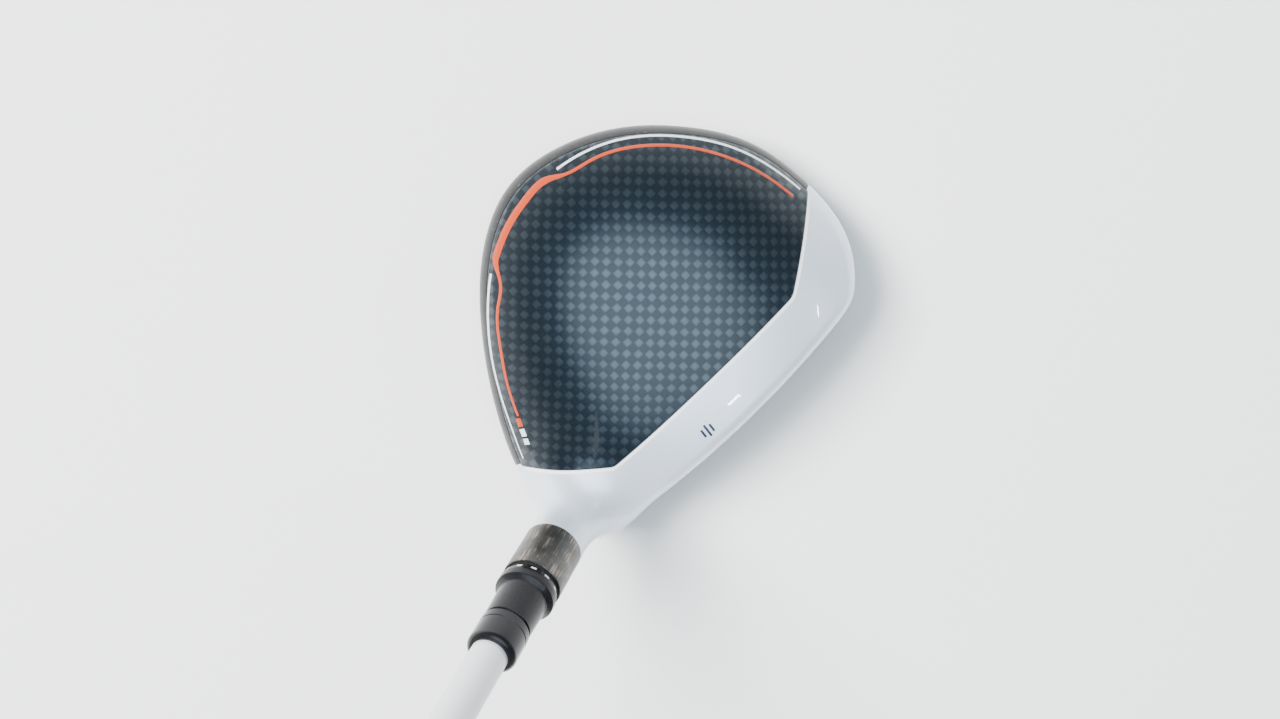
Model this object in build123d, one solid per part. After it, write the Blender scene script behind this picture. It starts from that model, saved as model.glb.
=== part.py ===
from build123d import *
import os
from math import atan2, cos, hypot, pi, radians, sin

import numpy as np

# Left-handed adjustable fairway wood at address, in millimetres.
# +X points to the toe, the face looks along -Y, +Z is up, and the origin is the
# middle of the small flat patch on the sole that the head rests on.

# --- driving dimensions -------------------------------------------------------
LIE = 58.5                     # shaft to ground, degrees
LOFT = 15.0                    # face from vertical, degrees
FACE_RADIUS = 254.0            # bulge and roll
FACE_POINT = (-3.0, -37.3, 20.0)
AXIS_FOOT = (-32.0, -22.0, 0.0)   # where the shaft axis meets the ground
CLUB_LENGTH = 1100.0           # from AXIS_FOOT to the butt, along the shaft

# head form
CROWN_APEX = 36.0
CROWN_CENTRE = (-2.0, -14.0)
CROWN_SEMI = (54.0, 61.0)      # half axes of the round part of the dome
CROWN_DROP_ROUND = 8.5
CROWN_DROP_EDGE = 11.5
SOLE_CAMBER_X = 460.0          # rise is x squared over this
SOLE_CAMBER_Y = 520.0
SOLE_FLAT = 0.1                # depth of the flat ground off the low point
REAR_RIM = [(51, -3), (47.6, 12.5), (38.5, 26.5), (26, 38), (11, 45.1), (-4, 46.4), (-18, 40.4),
            (-31.5, 28), (-42.5, 13), (-50.3, -1.5), (-54.2, -14), (-53.6, -26)]
FRONT_RIM = [(-48.5, -35), (-33, -42.5), (-10, -45.5), (14, -44.5), (31, -38.5), (40.5, -32),
             (46.5, -25.5), (50.6, -15)]
DOME_FRONT = [(-47, -35), (-32, -50), (-8, -60), (16, -60), (38, -48), (50, -34), (54, -18)]
SKIRT = [(-4, 0.80), (2, 0.905), (7, 0.972), (14, 1.0), (20, 0.994), (28, 0.965), (40, 0.90)]

# walls
PANEL_THICKNESS = 0.9
CAVITY_DROP = 1.9              # from the crown surface to the top of the cavity
SOLE_WALL = 1.6
SKIRT_INSET = 0.972            # scale of the inner skirt to the outer one
FACE_WALL = 2.6

# crown panel outline: the rear follows the rim, the front is straight with two corners
PANEL_RIM = 0.962
PANEL_HEEL_CORNER = (-32.0, -19.4)
PANEL_TOE_CORNER = (27.5, -19.2)
PANEL_LEDGE = 7.0

# sole
SLOT_LENGTH, SLOT_WIDTH, SLOT_Y, SLOT_DEPTH = 58.0, 3.2, -33.0, 5.0
TRACK_AT, TRACK_LENGTH = (4.5, -14.0), 57.0
TRACK_MOUTH, TRACK_GAP, TRACK_UNDERCUT = 15.0, 8.4, 14.0
LIP_LOW, LIP_HIGH, TRACK_CEILING = 7.4, 8.9, 12.6
REAR_WEIGHT_AT, REAR_WEIGHT_R, REAR_BORE_TOP = (-3.0, 33.0), 6.0, 11.0
SOLE_PANEL_THICKNESS, SOLE_PANEL_SCALE, SOLE_PANEL_FRONT = 0.8, 0.82, 10.0
SOLE_PANEL_HOLE_R = 9.5

# sliding weight
WEIGHT_LENGTH, WEIGHT_WIDTH = 25.0, 14.6
WEIGHT_BOTTOM = 2.6
WEIGHT_HEAD_LOW, WEIGHT_HEAD_HIGH, WEIGHT_HEAD_R = 2.9, 5.25, 4.0
NUT_LENGTH, NUT_WIDTH, NUT_THICKNESS = 17.0, 13.4, 2.4
WEIGHT_SCREW_R = 2.5
RUNNING = 0.05                 # radial clearance of every turning fit

# hosel, measured along the shaft axis from the ground
HOSEL_R, HOSEL_LINER_R, HOSEL_BORE_R = 7.1, 6.6, 5.65
NECK_TOP, HOSEL_TOP = 44.6, 58.4
PORT_R, SEAT_LOW, SEAT_HIGH = 4.7, 14.7, 21.0
SPLINE_LOW, SPLINE_HIGH, SPLINE_TEETH = 22.0, 27.0, 12
SPLINE_ROOT_R, SPLINE_TIP_R = 4.7, 5.5

# loft sleeve and ferrule, measured from the top of the hosel
WASHER_THICKNESS = 0.5
BAND_TOP, COLLAR_TOP, BARREL_BASE, BARREL_TOP = 2.6, 4.5, 5.1, 14.5
SLEEVE_TOP, FERRULE_TOP = 15.1, 23.6
SLEEVE_BOTTOM, THREAD_TOP = 22.0, 33.0
BAND_LOW_R, BARREL_LOW_R, BARREL_HIGH_R, GROOVE_R, FERRULE_R = 6.6, 5.9, 5.6, 5.3, 5.8
SLEEVE_FIT = 0.03              # radial clearance of the sleeve in the hosel
MARK_LOW, MARK_HIGH, MARK_WIDTH, MARK_DEPTH = 1.25, 1.85, 1.3, 0.15
SHAFT_TIP_R = 4.25             # 0.335 inch tip

# hosel screw
SCREW_R, SCREW_HEAD_R, SCREW_HEAD_LOW, SCREW_HEAD_HIGH, SCREW_END = 2.5, 4.2, 8.5, 13.5, 30.0

# shaft and grip, measured along the shaft axis from the ground
TIP_END, TAPER_START, TAPER_END = 36.0, 110.0, 815.0
SHAFT_BUTT_R, TIP_BORE_R, BUTT_BORE_R = 7.6, 2.6, 6.5
GRIP_MOUTH, SHAFT_BUTT = 828.0, 1096.0
TAPE = 0.3
BUTT_HOLE_R = 1.5
CAP_R = 12.6
GRIP_PROFILE = [(8.7, 828), (9.2, 829), (9.2, 831.5), (8.9, 833), (12.9, 1078), (13.4, 1086),
                (14.4, 1093), (14.6, 1096), (14.3, 1098)]
GRIP_TOP = GRIP_PROFILE[-1][1]

HOSEL = Plane(
    origin=AXIS_FOOT,
    x_dir=(sin(radians(LIE)), 0, cos(radians(LIE))),
    z_dir=(-cos(radians(LIE)), 0, sin(radians(LIE))),
)


# --- helpers --------------------------------------------------------------------
def turned(profile):
    """Solid of revolution about local Z from (radius, height) points."""
    return revolve(Plane.XZ * make_face(Polyline(*profile, close=True)), Axis.Z)


def tube(outer, inner, low, high):
    return turned([(inner, low), (outer, low), (outer, high), (inner, high)])


def rod(radius, low, high):
    return turned([(0, low), (radius, low), (radius, high), (0, high)])


def block(x_size, y_size, low, high, at=(0, 0)):
    return Pos(at[0], at[1], (low + high) / 2) * Box(x_size, y_size, high - low)


def slab(x_size, y_size, low, high, at=(0, 0), corner=None):
    """Upright block with rounded corners."""
    radius = corner if corner is not None else y_size / 2 - 0.01
    return Pos(at[0], at[1], low) * extrude(RectangleRounded(x_size, y_size, radius), high - low)


def radius_by_angle(points):
    """Smooth closed curve round CROWN_CENTRE as a function of direction."""
    offset = np.array(points, float) - CROWN_CENTRE
    angle = np.arctan2(offset[:, 1], offset[:, 0]) % (2 * pi)
    order = np.argsort(angle)
    angle, radius = angle[order], np.hypot(offset[:, 0], offset[:, 1])[order]
    count = len(angle)
    gap = np.diff(np.append(angle, angle[0] + 2 * pi))
    matrix, right = np.zeros((count, count)), np.zeros(count)
    for i in range(count):
        after = (i + 1) % count
        matrix[i, i - 1] += gap[i - 1]
        matrix[i, i] += 2 * (gap[i - 1] + gap[i])
        matrix[i, after] += gap[i]
        right[i] = 6 * ((radius[after] - radius[i]) / gap[i] - (radius[i] - radius[i - 1]) / gap[i - 1])
    bend = np.linalg.solve(matrix, right)

    def at(direction):
        turn = direction % (2 * pi)
        turn = turn + 2 * pi if turn < angle[0] else turn
        i = int(np.clip(np.searchsorted(angle, turn, side="right") - 1, 0, count - 1))
        after, width = (i + 1) % count, gap[i]
        t = turn - angle[i]
        s = width - t
        curve = (bend[i] * s**3 + bend[after] * t**3) / (6 * width)
        return float(curve + (radius[i] / width - bend[i] * width / 6) * s
                     + (radius[after] / width - bend[after] * width / 6) * t)

    return at


dome_radius = radius_by_angle(REAR_RIM + DOME_FRONT)
rim_radius = radius_by_angle(REAR_RIM + FRONT_RIM)


def crown_height(x, y):
    dx, dy = x - CROWN_CENTRE[0], y - CROWN_CENTRE[1]
    round_part = (dx / CROWN_SEMI[0]) ** 2 + (dy / CROWN_SEMI[1]) ** 2
    edge_part = (hypot(dx, dy) / dome_radius(atan2(dy, dx))) ** 4
    return CROWN_APEX - CROWN_DROP_ROUND * round_part - CROWN_DROP_EDGE * edge_part


def sole_height(x, y):
    return x * x / SOLE_CAMBER_X + y * y / SOLE_CAMBER_Y - SOLE_FLAT


def height_surface(height):
    xs, ys = np.linspace(-58, 56, 39), np.linspace(-50, 50, 35)
    grid = [[(float(x), float(y), height(x, y)) for y in ys] for x in xs]
    return Face.make_surface_from_array_of_points(grid, tol=0.05, min_deg=3, max_deg=3)


CROWN_SURFACE = height_surface(crown_height)
SOLE_SURFACE = height_surface(sole_height)


def below_crown(drop):
    return extrude(Pos(0, 0, -drop) * CROWN_SURFACE, amount=150, dir=(0, 0, -1))


def above_sole(rise):
    return extrude(Pos(0, 0, rise) * SOLE_SURFACE, amount=150, dir=(0, 0, 1))


def behind_face(depth):
    """Ball whose front is the face, moved back along the face normal."""
    reach = FACE_RADIUS + depth
    centre = (FACE_POINT[0],
              FACE_POINT[1] + reach * cos(radians(LOFT)),
              FACE_POINT[2] - reach * sin(radians(LOFT)))
    return Pos(*centre) * Sphere(FACE_RADIUS)


def rim_outline(scale, steps=22):
    """Points of the plan outline, scaled about CROWN_CENTRE."""
    points = []
    for i in range(steps):
        turn = 2 * pi * i / steps
        reach = rim_radius(turn) * scale
        points.append((CROWN_CENTRE[0] + reach * cos(turn), CROWN_CENTRE[1] + reach * sin(turn)))
    return points


def skirt_solid(scale):
    sections = [Pos(0, 0, z) * make_face(Spline(*rim_outline(k * scale), periodic=True)) for z, k in SKIRT]
    return loft(sections)


def panel_zone(inset, low, high):
    """Upright prism over the crown panel, its edge moved in by inset."""
    shrink = 1 - inset / 52
    rear = [p for p in rim_outline(PANEL_RIM * shrink, 36) if p[1] > -6 + inset]
    directions = [atan2(y - CROWN_CENTRE[1], x - CROWN_CENTRE[0]) for x, y in rear]
    start = directions.index(min(directions))
    rear = rear[start:] + rear[:start]
    heel = (PANEL_HEEL_CORNER[0] + 0.6 * inset, PANEL_HEEL_CORNER[1] + inset)
    toe = (PANEL_TOE_CORNER[0] - 0.4 * inset, PANEL_TOE_CORNER[1] + inset)
    edge = Curve() + [Spline(*rear), Line(rear[-1], heel), Line(heel, toe), Line(toe, rear[0])]
    face = make_face(edge)
    corners = [v for v in face.vertices() if v.Y < -10 + inset]
    return Pos(0, 0, low) * extrude(fillet(corners, 2.5), high - low)


def write(name, part):
    part.label = name
    export_step(part, f"parts/{name}.step")
    print(name, round(part.volume, 1))


# --- head form ------------------------------------------------------------------
GROUND_UP = Pos(0, 0, 100) * Box(300, 300, 200)


def form(scale, crown_drop, sole_rise, face_depth):
    """The head's closed outer form, or a smaller one inside it."""
    return (skirt_solid(scale) & below_crown(crown_drop) & above_sole(sole_rise)
            & behind_face(face_depth) & GROUND_UP)


def neck_blend():
    """Flare that joins the hosel to the heel, leaning towards the crown."""
    # height along the axis, half widths, offset towards toe and back
    stations = [(NECK_TOP, 7.1, 7.1, 0, 0), (38, 7.25, 7.35, 0.1, 0.1), (32, 8.6, 9.0, 0.9, 0.8),
                (26.5, 12.5, 13.0, 3.4, 2.6), (21, 17.5, 18.5, 8.0, 7.0)]
    sections = []
    for t, wide, deep, toe, back in stations:
        ring = [(toe + wide * cos(pi * k / 6), back + deep * sin(pi * k / 6)) for k in range(12)]
        sections.append(Pos(0, 0, t) * make_face(Spline(*ring, periodic=True)))
    return HOSEL * loft(sections)


def head_form():
    crowned = form(1.0, 0, 0, 0)
    return crowned, crowned + (neck_blend() & above_sole(1) & behind_face(0))


# --- head pieces ----------------------------------------------------------------
def face_zone():
    """Prism along Y through the welded face insert."""
    edge = [(38, 14), (33, 23.5), (20, 29.5), (0, 31.5), (-18, 30), (-32, 24.5), (-38, 15),
            (-33, 7.5), (-15, 4.8), (5, 4.5), (25, 6), (36, 9.5)]
    face = Plane.XZ * make_face(Spline(*edge, periodic=True))
    return extrude(face, 70, dir=(0, -1, 0))


def scoring_lines():
    """Shallow lines either side of the middle of the face."""
    lines = Part()
    up_face = Pos(*FACE_POINT) * Rot(-LOFT, 0, 0)
    for k in range(-3, 4):
        for middle, length in ((-17, 15), (19, 17)):
            lines += up_face * Pos(middle - FACE_POINT[0], 0, 3.6 * k - 2) * Box(length, 12, 0.7)
    return lines - behind_face(0.25)


def below_sole(rise):
    return extrude(Pos(0, 0, rise) * SOLE_SURFACE, amount=30, dir=(0, 0, -1))


def sole_panel_zone(inset):
    plan = make_face(Spline(*rim_outline(SOLE_PANEL_SCALE - inset / 52), periodic=True))
    zone = Pos(0, 0, -5) * extrude(plan, 30) & Pos(0, 60 + SOLE_PANEL_FRONT + inset, 5) * Box(200, 120, 60)
    return zone - Pos(*REAR_WEIGHT_AT, 0) * rod(SOLE_PANEL_HOLE_R + inset, -10, 40)


def lobed_socket(radius, low, high):
    """Six-lobed driver socket about local Z."""
    lobes = rod(radius * 0.72, low, high)
    for k in range(6):
        lobes += Rot(0, 0, 60 * k) * Pos(radius * 0.76, 0, 0) * rod(radius * 0.24, low, high)
    return lobes


def cavity(bosses):
    room = form(SKIRT_INSET, CAVITY_DROP, SOLE_WALL, FACE_WALL)
    for boss in bosses:
        room -= boss
    return room


def head_bosses():
    """Solid stretches left standing inside the hollow head."""
    hosel_boss = HOSEL * rod(HOSEL_LINER_R + 1.4, -12, 50)
    track_boss = slab(TRACK_LENGTH + 3.2, TRACK_MOUTH + 3.2, -5, TRACK_CEILING + 1.3, TRACK_AT, 4)
    slot_boss = slab(SLOT_LENGTH + 6, SLOT_WIDTH + 6, -5, SLOT_DEPTH + 1.5, (0, SLOT_Y), 3)
    weight_boss = Pos(*REAR_WEIGHT_AT, 0) * rod(REAR_WEIGHT_R + 2.4, -5, REAR_BORE_TOP + 1.5)
    ribs = [block(1.2, 30, -5, 8, (x, 12)) for x in (-24, 22)]
    return [hosel_boss, track_boss, slot_boss, weight_boss, *ribs]


def track_cut():
    mouth = slab(TRACK_LENGTH, TRACK_MOUTH, -5, LIP_LOW, TRACK_AT, 3)
    gap = slab(TRACK_LENGTH - 6, TRACK_GAP, LIP_LOW - 1, LIP_HIGH + 1, TRACK_AT, 3)
    undercut = slab(TRACK_LENGTH, TRACK_UNDERCUT, LIP_HIGH, TRACK_CEILING, TRACK_AT, 3)
    return mouth + gap + undercut


def slot_filling(high):
    return slab(SLOT_LENGTH, SLOT_WIDTH, -5, high, (0, SLOT_Y))


def make_head():
    crowned, head = head_form()
    ball_gap = behind_face(FACE_WALL)
    face_cut = face_zone() - ball_gap
    panel_recess = panel_zone(0, 5, 60) - below_crown(PANEL_THICKNESS)
    sole_cut = sole_panel_zone(0) & below_sole(SOLE_PANEL_THICKNESS)
    rear_bore = Pos(*REAR_WEIGHT_AT, 0) * rod(REAR_WEIGHT_R, -5, REAR_BORE_TOP)

    body = head - cavity(head_bosses())
    body -= HOSEL * rod(HOSEL_LINER_R, -15, NECK_TOP + 1)
    body -= face_cut
    body -= panel_recess
    body -= panel_zone(PANEL_LEDGE, 16, 60)
    body -= track_cut()
    body -= slot_filling(12)
    body -= rear_bore
    body -= sole_cut
    write("head_body", body)

    write("face_plate", (head & face_cut) - scoring_lines())
    write("crown_panel", (crowned & panel_zone(0.1, 5, 60)) - below_crown(PANEL_THICKNESS))
    write("slot_insert", head & slot_filling(SLOT_DEPTH))
    write("rear_sole_panel", head & sole_panel_zone(0.1) & below_sole(SOLE_PANEL_THICKNESS))

    plug_low = sole_height(*REAR_WEIGHT_AT) + 0.4
    plug = rod(REAR_WEIGHT_R, plug_low, REAR_BORE_TOP - 0.5)
    plug -= lobed_socket(3.0, plug_low - 1, plug_low + 2.5)
    write("rear_weight_plug", Pos(*REAR_WEIGHT_AT, 0) * plug)


# --- sliding weight ---------------------------------------------------------------
def make_sliding_weight():
    place = Pos(*TRACK_AT, 0)
    top = LIP_LOW - RUNNING
    weight = slab(WEIGHT_LENGTH, WEIGHT_WIDTH, WEIGHT_BOTTOM, top, corner=2.9)
    weight = chamfer(weight.faces().sort_by(Axis.Z)[0].edges(), 0.5)
    weight += slab(18, TRACK_GAP - 0.2, top - 1, LIP_HIGH - 0.4, corner=3)
    weight -= rod(WEIGHT_HEAD_R + 0.2, 0, WEIGHT_HEAD_HIGH + RUNNING)
    weight -= rod(WEIGHT_SCREW_R + RUNNING, 0, 20)
    write("sliding_weight", place * weight)

    nut_low = LIP_HIGH + RUNNING
    nut = slab(NUT_LENGTH, NUT_WIDTH, nut_low, nut_low + NUT_THICKNESS, corner=2)
    write("weight_clamp_nut", place * (nut - rod(WEIGHT_SCREW_R + RUNNING, 0, 20)))

    screw = rod(WEIGHT_HEAD_R, WEIGHT_HEAD_LOW, WEIGHT_HEAD_HIGH)
    screw = chamfer(screw.edges().sort_by(Axis.Z)[0], 0.3)
    screw += rod(WEIGHT_SCREW_R, WEIGHT_HEAD_HIGH, nut_low + NUT_THICKNESS)
    write("weight_screw", place * (screw - lobed_socket(2.3, 2, WEIGHT_HEAD_LOW + 1.7)))


# --- hosel ------------------------------------------------------------------------
def wedges(half_angle, low, high, reach=9.0):
    """One wedge for each spline tooth."""
    side = radians(half_angle)
    plan = make_face(Polyline((0, 0), (reach * cos(side), -reach * sin(side)),
                              (reach * cos(side), reach * sin(side)), close=True))
    tooth = Pos(0, 0, low) * extrude(plan, high - low)
    return [Rot(0, 0, 360 * k / SPLINE_TEETH) * tooth for k in range(SPLINE_TEETH)]


def make_hosel():
    liner = turned([(0, -12), (HOSEL_LINER_R, -12), (HOSEL_LINER_R, NECK_TOP), (HOSEL_R, NECK_TOP),
                    (HOSEL_R, HOSEL_TOP - 0.25), (HOSEL_R - 0.25, HOSEL_TOP), (0, HOSEL_TOP)])
    liner -= rod(PORT_R, -15, SEAT_LOW)
    liner -= rod(SCREW_R + 0.25, 0, SEAT_HIGH + 1)
    liner -= rod(SPLINE_ROOT_R + 0.15, SEAT_HIGH, SPLINE_HIGH + 1)
    liner -= rod(HOSEL_BORE_R, SPLINE_HIGH, HOSEL_TOP + 1)
    liner -= rod(HOSEL_BORE_R, SEAT_HIGH, SPLINE_LOW)
    for groove in wedges(8.2, SPLINE_LOW - 0.5, SPLINE_HIGH + 0.5):
        liner -= groove & rod(HOSEL_BORE_R, SPLINE_LOW - 0.5, SPLINE_HIGH + 0.5)
    write("hosel_tube", (HOSEL * liner) & above_sole(0.3) & GROUND_UP)

    washer = turned([(SCREW_R + 0.25, SCREW_HEAD_HIGH), (SCREW_HEAD_R, SCREW_HEAD_HIGH),
                     (SCREW_HEAD_R + 0.3, SEAT_LOW), (SCREW_R + 0.25, SEAT_LOW)])
    write("screw_washer", HOSEL * washer)
    write("screw_retainer", HOSEL * tube(HOSEL_BORE_R, SCREW_R + RUNNING, SEAT_HIGH, SEAT_HIGH + 0.8))

    screw = rod(SCREW_HEAD_R, SCREW_HEAD_LOW, SCREW_HEAD_HIGH - RUNNING)
    screw = chamfer(screw.edges().sort_by(Axis.Z)[0], 0.4)
    screw += rod(SCREW_R, SCREW_HEAD_LOW + 3, SCREW_END)
    screw -= lobed_socket(2.8, SCREW_HEAD_LOW - 1, SCREW_HEAD_LOW + 3)
    write("hosel_screw", HOSEL * screw)


# --- loft sleeve, ferrule and shaft -------------------------------------------------
def index_marks():
    """Twelve short filled marks round the chamfered band."""
    slope = (HOSEL_R - BAND_LOW_R) / (BAND_TOP - WASHER_THICKNESS)
    low, high = HOSEL_TOP + MARK_LOW, HOSEL_TOP + MARK_HIGH
    low_r = BAND_LOW_R + slope * (MARK_LOW - WASHER_THICKNESS)
    high_r = BAND_LOW_R + slope * (MARK_HIGH - WASHER_THICKNESS)
    ring = turned([(low_r - MARK_DEPTH, low), (low_r, low), (high_r, high), (high_r - MARK_DEPTH, high)])
    marks = []
    for k in range(SPLINE_TEETH):
        turn = Rot(0, 0, 360 * k / SPLINE_TEETH)
        cutter = turn * Pos(HOSEL_R, 0, (low + high) / 2) * Box(4, MARK_WIDTH, 2)
        marks.append(ring & cutter)
    return marks


def make_shaft_side():
    top = HOSEL_TOP
    washer = tube(BAND_LOW_R - 0.05, HOSEL_BORE_R, top, top + WASHER_THICKNESS)
    write("collar_washer", HOSEL * washer)

    insert_r = HOSEL_BORE_R - SLEEVE_FIT
    sleeve = turned([(0, SLEEVE_BOTTOM), (SPLINE_ROOT_R, SLEEVE_BOTTOM), (SPLINE_ROOT_R, SPLINE_HIGH + 1),
                     (insert_r, SPLINE_HIGH + 1.6), (insert_r, top + WASHER_THICKNESS),
                     (BAND_LOW_R, top + WASHER_THICKNESS), (HOSEL_R, top + BAND_TOP),
                     (HOSEL_R, top + COLLAR_TOP), (BARREL_LOW_R, top + BARREL_BASE),
                     (BARREL_HIGH_R, top + BARREL_TOP), (GROOVE_R, top + BARREL_TOP),
                     (GROOVE_R, top + SLEEVE_TOP), (0, top + SLEEVE_TOP)])
    for tooth in wedges(6.8, SLEEVE_BOTTOM, SPLINE_HIGH):
        sleeve += tooth & rod(SPLINE_TIP_R, SLEEVE_BOTTOM, SPLINE_HIGH)
    sleeve -= rod(SCREW_R + RUNNING, 0, THREAD_TOP)
    sleeve -= rod(SHAFT_TIP_R, TIP_END, top + 40)
    marks = index_marks()
    for mark in marks:
        sleeve -= mark
    write("loft_sleeve", HOSEL * sleeve)
    write("sleeve_index_marks", Compound([HOSEL * mark for mark in marks]))

    ferrule = tube(FERRULE_R, SHAFT_TIP_R, top + SLEEVE_TOP, top + FERRULE_TOP)
    circles = ferrule.edges().filter_by(GeomType.CIRCLE)
    upper_edge = circles.sort_by(lambda e: e.position_at(0).Z + e.radius)[-1]
    ferrule = fillet(upper_edge, 1.4)
    write("ferrule", HOSEL * ferrule)

    shaft = turned([(TIP_BORE_R, TIP_END), (SHAFT_TIP_R, TIP_END), (SHAFT_TIP_R, TAPER_START),
                    (SHAFT_BUTT_R, TAPER_END), (SHAFT_BUTT_R, SHAFT_BUTT), (BUTT_BORE_R, SHAFT_BUTT),
                    (BUTT_BORE_R, TAPER_END), (TIP_BORE_R, TAPER_START)])
    write("shaft", HOSEL * shaft)
    write("shaft_tip_plug", HOSEL * rod(TIP_BORE_R, TIP_END + 2, TIP_END + 14))


# --- grip -------------------------------------------------------------------------
def make_grip():
    tape_low = GRIP_MOUTH + 4
    sock_r = SHAFT_BUTT_R + TAPE
    write("grip_tape", HOSEL * tube(sock_r, SHAFT_BUTT_R, tape_low, SHAFT_BUTT))
    grip = turned([(SHAFT_BUTT_R, GRIP_MOUTH), *GRIP_PROFILE, (CAP_R, GRIP_TOP), (CAP_R, SHAFT_BUTT),
                   (sock_r, SHAFT_BUTT), (sock_r, tape_low), (SHAFT_BUTT_R, tape_low)])
    write("grip", HOSEL * grip)
    cap = turned([(BUTT_HOLE_R, SHAFT_BUTT), (CAP_R, SHAFT_BUTT), (CAP_R, CLUB_LENGTH - 1.4),
                  (9.0, CLUB_LENGTH - 0.3), (BUTT_HOLE_R, CLUB_LENGTH)])
    write("grip_end_cap", HOSEL * cap)


os.makedirs("parts", exist_ok=True)
make_head()
make_sliding_weight()
make_hosel()
make_shaft_side()
make_grip()
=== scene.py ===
from math import cos, pi, radians, sin

import bmesh
import bpy
import numpy as np
from mathutils import Matrix, Vector


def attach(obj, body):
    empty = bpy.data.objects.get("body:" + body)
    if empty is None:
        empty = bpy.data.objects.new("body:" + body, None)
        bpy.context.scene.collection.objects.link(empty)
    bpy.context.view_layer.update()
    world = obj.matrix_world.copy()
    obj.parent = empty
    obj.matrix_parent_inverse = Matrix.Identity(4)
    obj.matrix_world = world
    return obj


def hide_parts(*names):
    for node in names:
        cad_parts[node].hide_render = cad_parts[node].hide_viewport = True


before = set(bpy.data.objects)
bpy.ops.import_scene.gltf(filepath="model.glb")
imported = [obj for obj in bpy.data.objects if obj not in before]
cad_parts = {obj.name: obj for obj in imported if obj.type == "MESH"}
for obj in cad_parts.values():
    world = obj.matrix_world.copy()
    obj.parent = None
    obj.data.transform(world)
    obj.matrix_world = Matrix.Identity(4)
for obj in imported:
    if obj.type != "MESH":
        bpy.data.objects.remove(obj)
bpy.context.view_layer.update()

MM = 0.001

# --- sizes in millimetres, as in the CAD model ------------
LIE, LOFT = 58.5, 15.0
FACE_RADIUS = 254.0
FACE_POINT = np.array([-3.0, -37.3, 20.0])
AXIS_FOOT = np.array([-32.0, -22.0, 0.0])
AXIS = np.array([-cos(radians(LIE)), 0.0, sin(radians(LIE))])
CROWN_APEX, CROWN_CENTRE, CROWN_SEMI = 36.0, np.array([-2.0, -14.0]), (54.0, 61.0)
CROWN_DROP_ROUND, CROWN_DROP_EDGE = 8.5, 11.5
SOLE_CAMBER_X, SOLE_CAMBER_Y, SOLE_FLAT = 460.0, 520.0, 0.1
REAR_RIM = [(51, -3), (47.6, 12.5), (38.5, 26.5), (26, 38), (11, 45.1), (-4, 46.4), (-18, 40.4),
            (-31.5, 28), (-42.5, 13), (-50.3, -1.5), (-54.2, -14), (-53.6, -26)]
FRONT_RIM = [(-48.5, -35), (-33, -42.5), (-10, -45.5), (14, -44.5), (31, -38.5), (40.5, -32),
             (46.5, -25.5), (50.6, -15)]
DOME_FRONT = [(-47, -35), (-32, -50), (-8, -60), (16, -60), (38, -48), (50, -34), (54, -18)]
SKIRT_Z = [-4, 2, 7, 14, 20, 28, 40]
SKIRT_SCALE = [0.80, 0.905, 0.972, 1.0, 0.994, 0.965, 0.90]
PANEL_RIM, PANEL_THICKNESS = 0.962, 0.9
PANEL_HEEL_CORNER, PANEL_TOE_CORNER = (-32.0, -19.4), (27.5, -19.2)
PANEL_FRONT, LIP_FRONT = -5.6, -5.7    # Y where the rim part of the outline ends, and the lip begins
NECK_TOP, HOSEL_R, HOSEL_TOP = 44.6, 7.1, 58.4
LINER_R = 6.6
NECK_FOOT = 14.0                       # where the neck's cylinder starts, along the shaft axis
PAINT_Y, PAINT_Z, PAINT_SOFT = -5.0, 6.5, 0.05    # borders between the white and the black paint

FACE_EDGE_POINTS = [(38, 14), (33, 23.5), (20, 29.5), (0, 31.5), (-18, 30), (-32, 24.5), (-38, 15),
                    (-33, 7.5), (-15, 4.8), (5, 4.5), (25, 6), (36, 9.5)]
FACE_DEPTH = 2.6
TRACK_AT, TRACK_LENGTH, TRACK_WIDTH = (4.5, -14.0), 57.0, 15.0
TRACK_GAP, TRACK_UNDERCUT, TRACK_CORNER = 8.4, 14.0, 3.0
LIP_LOW, LIP_HIGH, TRACK_CEILING, TRACK_DARK_TOP = 7.4, 8.9, 12.6, 14.0
SLOT_AT, SLOT_LENGTH, SLOT_WIDTH = (0.0, -33.0), 58.0, 3.2
SLOT_CORNER, SLOT_TOP = 1.59, 5.01
REAR_WEIGHT_AT, REAR_WEIGHT_R, REAR_BORE_TOP = (-3.0, 33.0), 6.0, 11.0
BELOW_SOLE = -5.0                      # where the cutters of the sole start
SOLE_PANEL_SCALE, SOLE_PANEL_FRONT, SOLE_PANEL_HOLE_R, SOLE_PANEL_DEPTH = 0.82, 10.0, 9.5, 0.8

HOSEL_FRAME = np.array([[sin(radians(LIE)), 0.0, cos(radians(LIE))], [0.0, 1.0, 0.0], AXIS])


# --- mesh helpers ------------
def make_piece(name, points, faces, material, body, sharp=30.0):
    """Mesh object from points in millimetres, riding on a CAD body."""
    mesh = bpy.data.meshes.new(name)
    mesh.from_pydata((np.asarray(points, float) * MM).tolist(), [], [list(map(int, f)) for f in faces])
    mesh.validate()
    if material:
        mesh.materials.append(material)
    mesh.shade_smooth()
    mesh.set_sharp_from_angle(angle=radians(sharp))
    piece = bpy.data.objects.new(name, mesh)
    bpy.context.scene.collection.objects.link(piece)
    if body:
        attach(piece, body)
    return piece


def grid_faces(rows, columns, close_rows=False, close_columns=False):
    """Quads over a grid of points stored row by row."""
    faces = []
    for i in range(rows if close_rows else rows - 1):
        for j in range(columns if close_columns else columns - 1):
            a, b = i * columns + j, i * columns + (j + 1) % columns
            c, d = ((i + 1) % rows) * columns + (j + 1) % columns, ((i + 1) % rows) * columns + j
            faces.append((a, b, c, d))
    return faces


def arc(centre_r, centre_t, radius, start, end, steps=6):
    """Profile points along an arc, angles in degrees from the +radius direction."""
    turn = np.radians(np.linspace(start, end, steps))
    return [(centre_r + radius * cos(a), centre_t + radius * sin(a)) for a in turn]


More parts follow.
